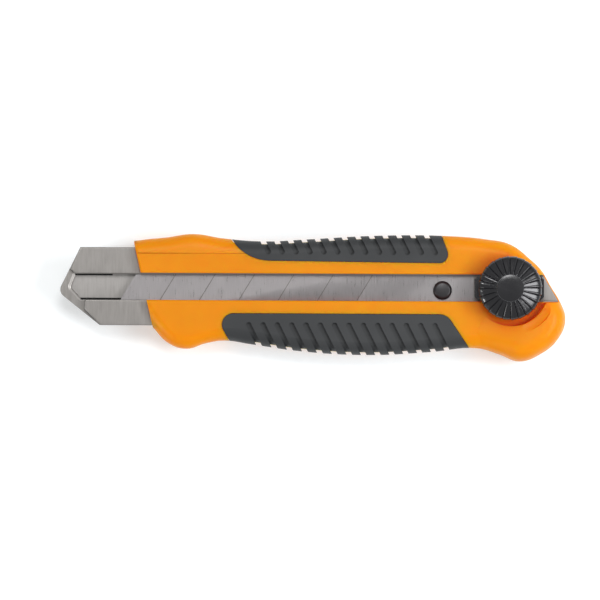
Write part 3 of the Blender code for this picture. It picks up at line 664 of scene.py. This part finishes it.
# %% Make both grips
upper_slots = slot_row("upper_slot", 13, 4.95, -16.0, 12.6, 1)
upper_grip = grip("soft_grip_upper", UPPER_EDGE, UPPER_ROUNDS, upper_slots)
fitted(upper_grip, "handle", "upper_grip", grip_rubber)
lower_slots = slot_row("lower_slot", 14, 5.1, -22.8, -13.6, -1)
lower_grip = grip("soft_grip_lower", LOWER_EDGE, LOWER_ROUNDS, lower_slots)
fitted(lower_grip, "handle", "lower_grip", grip_rubber)

# %% [markdown]
# ## Moulded body
# The body is the outline form with the heel added, then carved: the front face, the cavity for the
# steel channel, the long slot with small chamfers, and the beds of the two grips. Everything is cut
# in one step, because a single cut keeps the surfaces between the cuts clean. Last, a weighted bevel
# rounds the upper part of the front face's edge, which catches the light.

# %% Cutters for the body
FRONT_EDGE = in_metres([(-53.5, -30.0), (-67.1, 30.0)])
FRONT_WASTE = in_metres([(-130.0, 30.0), (-130.0, -30.0)])
CAVITY = in_metres([
    (-140, -14.2), (85.4, -14.2), (85.4, -6.2), (79.2, 5.4), (69.0, 14.2), (-140, 14.2),
])
TROUGH_HALF = 5.6 * MM
SLOT_CHAMFER = 0.35 * MM


def slot_cutter():
    """The long slot, widened at the face by a small chamfer."""
    wide = SLOT_HALF + SLOT_CHAMFER
    shoulder = FACE - SLOT_CHAMFER
    section = [
        (-SLOT_HALF, 0), (SLOT_HALF, 0), (SLOT_HALF, shoulder), (wide, FACE),
        (wide, FAR), (-wide, FAR), (-wide, FACE), (-SLOT_HALF, shoulder),
    ]
    cutter = slab("slot", section, -FAR, FAR)
    cutter.data.transform(Matrix.Rotation(math.pi / 2, 4, "Z") @ Matrix.Rotation(math.pi / 2, 4, "X"))
    lift = brick("slot_lift", (-2 * FAR, 2 * FAR), (-FAR, FAR), (SHELF_UNDER, FAR))
    return carved(cutter, [lift], "INTERSECT")


def grip_bed(name, edge, rounds):
    """The room for a grip, a parting line wider than the grip itself."""
    bed = slab(name, grown(rounded(edge, rounds), PARTING), GRIP_BOTTOM - PARTING, FACE + 2 * GAP)
    return carved(bed, [under_skin(name + "_core", GRIP_THICKNESS + PARTING)])


# %% Carve the body
body = body_form("moulded_body", 0, FACE, 0, EDGE_ROUND)
body = carved(body, [heel()], "UNION")
body = carved(body, [
    slab("front_face", FRONT_EDGE + FRONT_WASTE, -GAP, FACE + GAP),
    slab("cavity", CAVITY, SHELF_UNDER - GAP, LIP_TOP + GAP),
    brick("trough", (-FAR, FAR), (-TROUGH_HALF, TROUGH_HALF), (GROOVE_UNDER - GAP, SHELF_TOP)),
    slot_cutter(),
    grip_bed("upper_bed", UPPER_EDGE, UPPER_ROUNDS),
    grip_bed("lower_bed", LOWER_EDGE, LOWER_ROUNDS),
])
print("body carved to", len(body.data.polygons), "faces")


# %% Ease the front and fit the body
def eased_front(obj, width):
    """A small round on the front face's edge, above the slot and clear of the cavity."""
    a, b = (Vector(point) for point in FRONT_EDGE)
    across_front = (b - a).orthogonal().normalized()
    weight = obj.data.attributes.new("bevel_weight_edge", "FLOAT", "EDGE")
    near = 0.02 * MM
    over_cavity = LIP_TOP + GAP + 0.05 * MM
    beside_cavity = CARRIER_HALF + 1.0 * MM
    eased = 0
    for edge in obj.data.edges:
        ends = [obj.data.vertices[index].co for index in edge.vertices]
        on_front = all(abs((end.xy - a).dot(across_front)) < near for end in ends)
        clear = all(end.z > over_cavity or end.y > beside_cavity for end in ends)
        outside = clear and all(end.y > SLOT_HALF for end in ends)
        weight.data[edge.index].value = 1.0 if on_front and outside else 0.0
        eased += on_front and outside
    print(eased, "front edges eased")
    ease = obj.modifiers.new("eased_front", "BEVEL")
    ease.limit_method = "WEIGHT"
    ease.width = width
    ease.segments = 4
    ease.use_clamp_overlap = False
    return settled(obj, obj.name)


body = eased_front(body, 0.8 * MM)
fitted(body, "handle", "body_shell", orange_plastic, 28)

# %% [markdown]
# ## Folded steel channel
# The channel is one sheet, folded up and over so that its two lips hold the blade down. A groove
# pressed along its middle ends in a pointed chevron with a rolled wall, and narrow slits beside the
# groove let the press do that without tearing the sheet. It is built from its own flats: the sheet
# under the blade, the keel below the groove, two lips with round edges, and the walls that join
# them. Then the groove and the slits are cut.

# %% Plans of the channel
UPPER_CUT_BACK = CARRIER_REAR - 16.3 * MM
NOSE_CORNER = NOSE + 7.1 * MM
LIP_SHOW = 0.4 * MM


def channel_plan():
    """Plan of the flat sheet under the blade, with the pointed nose and the slanted rear."""
    half = CARRIER_HALF
    keel = GROOVE_HALF + SHEET
    tail = [
        (CARRIER_REAR + 2.2 * MM, 0.1 * MM - SLOT_HALF), (CARRIER_REAR - 0.9 * MM, 0.9 * MM),
        (CARRIER_REAR - 3.3 * MM, SLOT_HALF - 0.1 * MM),
    ]
    corners = [
        (NOSE_CORNER, half), (NOSE - 0.76 * MM, -2.1 * MM), (NOSE + 14.1 * MM, -half),
        (CARRIER_REAR, -half), (CARRIER_REAR, 0.1 * MM - SLOT_HALF), *tail,
        (UPPER_CUT_BACK + (half - keel) * 1.15, keel), (UPPER_CUT_BACK, half),
    ]
    return rounded(corners, [0, 3] + [0] * (len(corners) - 2))


def groove_plan(rear_low, rear_high):
    """Plan of the groove's floor: a chevron at the nose, and a rear end at two places."""
    nose = [(NOSE + 5.7 * MM, GROOVE_HALF), (NOSE + 3.8 * MM, -0.5 * MM), (NOSE + 7.3 * MM, -GROOVE_HALF)]
    return rounded(nose + [(rear_low, -GROOVE_HALF), (rear_high, GROOVE_HALF)], [0.8, 1.2, 0.8, 0, 0], 5)


def groove_cutter():
    """The groove: a steep wall and then a gentle ramp up to the sheet, as a stack of outlines."""
    sizes = [value * MM for value in (0, 0.06, 0.25, 0.60, 0.95, 1.15, 1.15)]
    drops = [value * MM for value in (0.50, 0.29, 0.21, 0.10, 0.02)]
    levels = [GROOVE_FLOOR] + [SHELF_TOP - drop for drop in drops] + [BLADE_TOP]
    return loft("groove", [grown(groove_plan(FAR, FAR), size) for size in sizes], levels)


def lip_plans():
    """Plans of the two lips that fold in over the blade; their front ends are cut at a slant."""
    half = CARRIER_HALF
    low = [
        (NOSE + 8.6 * MM, -SLOT_HALF), (NOSE + 8.6 * MM, -8.0 * MM), (NOSE + 14.3 * MM, -half),
        (CARRIER_REAR, -half), (CARRIER_REAR, -SLOT_HALF),
    ]
    inner = SLOT_HALF - LIP_SHOW
    high = [
        (NOSE_CORNER, half), (NOSE + 3.5 * MM, 6.3 * MM), (NOSE + 5.3 * MM, inner),
        (CARRIER_REAR - 6.4 * MM, inner), (UPPER_CUT_BACK, half),
    ]
    return rounded(low, [0.8, 1.2, 0, 0, 0], 4), high


# %% Fold the channel
SLITS = [
    ((NOSE + 5.3 * MM, NOSE + 18.6 * MM), (GROOVE_HALF - 0.45 * MM, SLOT_HALF + 0.1 * MM)),
    ((NOSE + 7.2 * MM, CARRIER_REAR - 30 * MM), (-SLOT_HALF - 0.1 * MM, 0.15 * MM - GROOVE_HALF)),
]
LIP_ROUND = 0.45 * MM


def folded_channel():
    """The sheet, keel, lips and walls joined in one solid, then the groove and the slits cut."""
    channel = slab("folded_channel", channel_plan(), SHELF_UNDER, SHELF_TOP, 0.12 * MM)
    keel_plan = grown(groove_plan(CARRIER_REAR + 1.1 * MM, CARRIER_REAR - 4.0 * MM), SHEET)
    low_lip, high_lip = lip_plans()
    space = CARRIER_HALF - SHEET
    side = CARRIER_HALF - 0.1 * MM
    wall_levels = (SHELF_UNDER + 0.2 * MM, LIP_TOP - 0.25 * MM)
    channel = carved(channel, [
        slab("keel", keel_plan, GROOVE_UNDER, SHELF_TOP - GAP),
        slab("low_lip", low_lip, LIP_UNDER, LIP_TOP, LIP_ROUND, 5),
        slab("high_lip", high_lip, LIP_UNDER, LIP_TOP, LIP_ROUND, 5),
        brick("low_wall", (NOSE + 14.9 * MM, CARRIER_REAR - 0.3 * MM), (-side, -space), wall_levels),
        brick("high_wall", (NOSE + 7.6 * MM, CARRIER_REAR - 17 * MM), (space, side), wall_levels),
    ], "UNION")
    slits = [brick("slit", xs, ys, (GROOVE_UNDER + 0.2 * MM, SHELF_TOP + 0.5 * MM)) for xs, ys in SLITS]
    return carved(channel, [groove_cutter()] + slits)


# %% Finish the channel
def in_slit(centre):
    """True for a point in one of the channel's narrow slits."""
    if centre.z > SHELF_TOP - 0.35 * MM:
        return False
    near = 0.02 * MM
    return any(xs[0] - near < centre.x < xs[1] + near and ys[0] - near < centre.y < ys[1] + near
               for xs, ys in SLITS)


def on_groove_floor(centre):
    return abs(centre.z - GROOVE_FLOOR) < 0.05 * MM and abs(centre.y) < GROOVE_HALF


def marked(obj, material, test):
    """Give one more material to the faces whose centres pass the test."""
    obj.data.materials.append(material)
    for face in obj.data.polygons:
        if test(face.center):
            face.material_index = len(obj.data.materials) - 1


channel = folded_channel()
fitted(channel, "handle", "blade_carrier", carrier_steel, 40)
# The groove floor gets the lighter copy of the channel steel: painted light.
marked(channel, groove_lit_steel, on_groove_floor)
# The faces inside the slits get the near-black finish: painted shade.
marked(channel, painted_slit_shade, in_slit)

# %% [markdown]
# ## Blade
# The blade is ground strip with a slanted point and the same slant scored across it again and again,
# so that a worn end snaps off. Its lower edge is ground to a bevel, and a round hole near the rear
# takes the pin.

# %% Scored blade
SEGMENT = 14.0 * MM
SEGMENTS = 7
SLANT = 0.605
GRIND_WIDTH = 3.0 * MM
SCORE_WIDTH = 0.26 * MM
SCORE_DEPTH = 0.12 * MM


def score(index):
    """A thin slanted bar that cuts one score line across the blade."""
    half = blade_high.y + GAP
    x = blade_low.x + index * SEGMENT + SLANT * (0 - blade_low.y)
    line = [(x - SLANT * half, -half), (x - SLANT * half + SCORE_WIDTH, -half),
            (x + SLANT * half + SCORE_WIDTH, half), (x + SLANT * half, half)]
    return slab(f"score_{index}", line, BLADE_TOP - SCORE_DEPTH, BLADE_TOP + GAP)


def scored_blade():
    """Ground strip with a slanted point, a bevelled lower edge, a pin hole and score lines."""
    low, high = blade_low, blade_high
    slant = SLANT * (high.y - low.y)
    plan = [(low.x, low.y), (high.x, low.y), (high.x, high.y), (low.x + slant, high.y)]
    blade = slab("scored_blade", plan, BLADE_UNDER, BLADE_TOP)
    grind = brick("grind", (-FAR, FAR), (-2 * GRIND_WIDTH, 0), (0, GRIND_WIDTH))
    tilt = math.atan((BLADE_TOP - BLADE_UNDER) * 0.9 / GRIND_WIDTH)
    edge = Matrix.Translation((0, low.y + GRIND_WIDTH, BLADE_TOP)) @ Matrix.Rotation(tilt, 4, "X")
    grind.data.transform(edge)
    hole = lathe("pin_hole", [(0, FACE), (2.7 * MM, FACE), (2.7 * MM, 0), (0, 0)], 48, PIN)
    scores = [score(index) for index in range(1, SEGMENTS)]
    return carved(blade, [grind, hole] + scores)


def in_score(centre):
    """True for a point on the floor or a wall of a score line, above the ground edge."""
    deep = BLADE_TOP - SCORE_DEPTH - 0.01 * MM
    return deep < centre.z < BLADE_TOP - 0.02 * MM and centre.y > blade_low.y + GRIND_WIDTH


blade = scored_blade()
fitted(blade, "slider", "blade", blade_steel, 20)
# The score lines get the darker steel: painted shade in the creases.
marked(blade, score_shade_steel, in_score)

# %% [markdown]
# ## Pin and slide block
# The pin is a turned rivet with a chamfered head, standing in the slot. The slide block is a short
# moulded bar that fills the slot under the wheel, its corners cut off so that it doesn't catch.

# %% Pin and block
def rivet():
    """The blade's pin: a chamfered head on a shank."""
    head = (pin_high.x - pin_low.x) / 2
    shank = 2.4 * MM
    top = pin_high.z
    under = BLADE_TOP + GAP
    profile = [
        (0, top), (head - 1.0 * MM, top), (head - 0.75 * MM, top - 0.06 * MM),
        (head - 0.1 * MM, top - 0.62 * MM), (head, top - 0.8 * MM), (head, under + 0.1 * MM),
        (head - 0.1 * MM, under), (shank, under), (shank, pin_low.z), (0, pin_low.z),
    ]
    return lathe("rivet", profile, 96, PIN)


def slider_bar():
    """The bar under the wheel, with a bore for the stud and room for the channel's upper lip."""
    low, high = block_low, block_high
    corner = 1.4 * MM
    plan = [
        (low.x + corner, low.y), (high.x - corner, low.y),
        (high.x, low.y + corner), (high.x, high.y - corner),
        (high.x - corner, high.y), (low.x + corner, high.y),
        (low.x, high.y - corner), (low.x, low.y + corner),
    ]
    bar = slab("slider_bar", plan, low.z, high.z)
    bore = 2.8 * MM
    hole = lathe("stud_hole", [(0, FAR), (bore, FAR), (bore, 0), (0, 0)], 48, WHEEL)
    lip_edge = SLOT_HALF - LIP_SHOW - 0.2 * MM
    lip_room = brick("lip_room", (-FAR, FAR), (lip_edge, FAR), (0, LIP_TOP + 0.15 * MM))
    return softened(carved(bar, [hole, lip_room]), 0.3 * MM)


fitted(rivet(), "slider", "blade_pin", black_steel)
fitted(slider_bar(), "slider", "slide_block", black_plastic)

# %% [markdown]
# ## Lock wheel
# The wheel is moulded with a flat hub and a sloping pleated crown that the thumb can turn. It is
# turned as a plain profile first. Then the crown's points are raised or lowered by their angle: each
# pleat is a thin rib and a face that falls away to the next one, and the rim gets light scallops.

# %% Pleated wheel
FLUTES = 24
STEPS_PER_FLUTE = 24
HUB_RADIUS = 4.9 * MM


def pleat(phase):
    """Height of the crown across one pleat: a narrow groove, a thin rib, then the falling face."""
    groove = 0.42 * max(0.0, 1 - abs(phase - 0.07) / 0.09)
    rib = 0.13 * math.cos(min(abs(phase - 0.32) / 0.18, 1.0) * math.pi / 2) ** 2
    return (rib - groove - 0.14 * phase) * MM


def pleated_wheel():
    """The wheel turned as a plain profile, its crown and rim then shaped pleat by pleat."""
    rim = WHEEL_RADIUS
    seat = HUB_RADIUS
    bore = 4.7 * MM
    bore_top = WHEEL_UNDER + 6.0 * MM
    cap_floor = WHEEL_TOP - 1.8 * MM
    crown = [(seat + (rim - 0.9 * MM - seat) * t, WHEEL_TOP - 0.25 * MM - 2.1 * MM * t ** 1.05)
             for t in [i / 8 for i in range(9)]]
    edge = [
        (rim - 0.3 * MM, WHEEL_TOP - 2.8 * MM), (rim, WHEEL_TOP - 3.7 * MM),
        (rim, WHEEL_UNDER + 1.4 * MM), (rim - 0.5 * MM, WHEEL_UNDER + 0.4 * MM),
        (rim - 1.0 * MM, WHEEL_UNDER),
    ]
    profile = [(0, cap_floor), (seat, cap_floor)] + crown + edge
    profile += [(bore, WHEEL_UNDER), (bore, bore_top), (0, bore_top)]
    wheel = lathe("pleated_wheel", profile, FLUTES * STEPS_PER_FLUTE, WHEEL)
    for vertex in wheel.data.vertices:
        arm = vertex.co.xy - WHEEL.xy
        radius = arm.length
        if radius < seat + 0.05 * MM or vertex.co.z < WHEEL_UNDER + 0.6 * MM:
            continue
        phase = (math.atan2(arm.y, arm.x) * FLUTES / math.tau + 0.02) % 1.0
        start = min((radius - seat) / (0.7 * MM), 1.0)
        if vertex.co.z > WHEEL_TOP - 3.2 * MM:
            vertex.co.z += pleat(phase) * start
        if radius > rim - 1.0 * MM:
            shorter = 1 + (pleat(phase) * 0.8 - 0.18 * MM) / radius
            vertex.co.x = WHEEL.x + arm.x * shorter
            vertex.co.y = WHEEL.y + arm.y * shorter
    return wheel


def hub_cap():
    """The smooth, slightly domed disc in the middle of the wheel."""
    low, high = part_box("knob_cap")
    edge = HUB_RADIUS - 0.04 * MM
    dome = [(edge * t, high.z - 0.16 * MM * t ** 3) for t in [i / 6 for i in range(6)]]
    side = [(edge - 0.15 * MM, high.z - 0.17 * MM), (edge, high.z - 0.34 * MM), (edge, low.z)]
    return lathe("hub_cap", dome + side + [(0, low.z)], 96, WHEEL)


fitted(pleated_wheel(), "wheel", "lock_knob", black_plastic, 40)
fitted(hub_cap(), "wheel", "knob_cap", black_plastic)

# %% [markdown]
# ## Parts that keep their shape
# The clamp plate, screws, washer and nut are plain stock parts, and the back plate is a flat
# moulding, so their working solids already have the right shape. They keep their meshes and get
# their own finish.

# %% Finishes on the working solids
def refinish(node, material):
    """Give a working solid that stays in view its own finish."""
    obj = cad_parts[node]
    obj.data.materials.clear()
    obj.data.materials.append(material)


refinish("clamp_plate", carrier_steel)
refinish("knob_nut", brass)
refinish("back_cover", cover_plastic)
for node in ("lock_screw", "thrust_washer", "carrier_screw_front", "carrier_screw_rear"):
    refinish(node, screw_steel)
for index in range(1, 5):
    refinish(f"cover_screw_{index}", screw_steel)
print("refinished the working solids")

# %% [markdown]
# ## Stage, light and camera
# The knife lies on a plain white table that glows a little, as a light table does. The main soft
# light stands to the right and draws highlights on the wheel, a second one fills from above the upper
# edge, and a weak one low on the left picks out the steel edges. The camera looks straight down from
# far away through a long lens, so the sides hardly show.

# %% Floor and lights
def plain_floor():
    """A wide white table, a hair below the knife."""
    shape = bmesh.new()
    bmesh.ops.create_grid(shape, x_segments=1, y_segments=1, size=3.0)
    mesh = bpy.data.meshes.new("floor")
    shape.to_mesh(mesh)
    shape.free()
    floor = linked("floor", mesh)
    material, shader, place = new_finish("floor_paint", 0.9)
    tone = noise(material, stretched(material, place, (6, 6, 6)), 2.0)
    white = ramp(material, tone, [(0.4, (0.70, 0.73, 0.74)), (0.6, (0.72, 0.75, 0.76))])
    link(material, white, shader.inputs["Base Color"])
    shader.inputs["Emission Color"].default_value = (1, 1, 1, 1)
    shader.inputs["Emission Strength"].default_value = 0.30
    mesh.materials.append(material)
    floor.location.z = -0.1 * MM


def soft_light(name, place, aim, size, power, colour=(1, 1, 1)):
    """An oval soft box that stands at place and points at aim."""
    data = bpy.data.lights.new(name, "AREA")
    data.shape = "ELLIPSE"
    data.size, data.size_y = size
    data.energy = power
    data.color = colour
    lamp = linked(name, data)
    lamp.location = place
    lamp.rotation_euler = (Vector(aim) - Vector(place)).to_track_quat("-Z", "Y").to_euler()


plain_floor()
soft_light("right", (0.74, 0.0, 0.82), (0.05, 0, 0), (0.85, 0.45), 10.0, (0.97, 0.98, 1.0))
soft_light("upper", (0.0, 0.40, 1.12), (0, 0, 0), (0.40, 0.40), 4.8)
soft_light("left_low", (-0.62, -0.42, 0.42), (-0.05, 0, 0), (0.24, 0.24), 2.0)

world = bpy.data.worlds.new("studio")
world.use_nodes = True
background = world.node_tree.nodes["Background"]
background.inputs["Color"].default_value = (1, 1, 1, 1)
background.inputs["Strength"].default_value = 0.46
bpy.context.scene.world = world
bpy.context.scene.view_settings.view_transform = "Standard"
print(len(bpy.data.lights), "soft lights over a plain floor")

# %% Camera
VIEW_WIDTH = 213.4 * MM
CAMERA_HEIGHT = 4.0
SENSOR = 36.0
camera_data = bpy.data.cameras.new("camera")
camera_data.sensor_width = SENSOR
camera_data.lens = SENSOR * (CAMERA_HEIGHT - FACE) / VIEW_WIDTH
camera = linked("camera", camera_data)
camera.location = (-4.6 * MM, -4.6 * MM, CAMERA_HEIGHT)
camera.rotation_euler = (0, 0, math.radians(0.3))
bpy.context.scene.camera = camera
print("lens", round(camera_data.lens, 1), "mm")
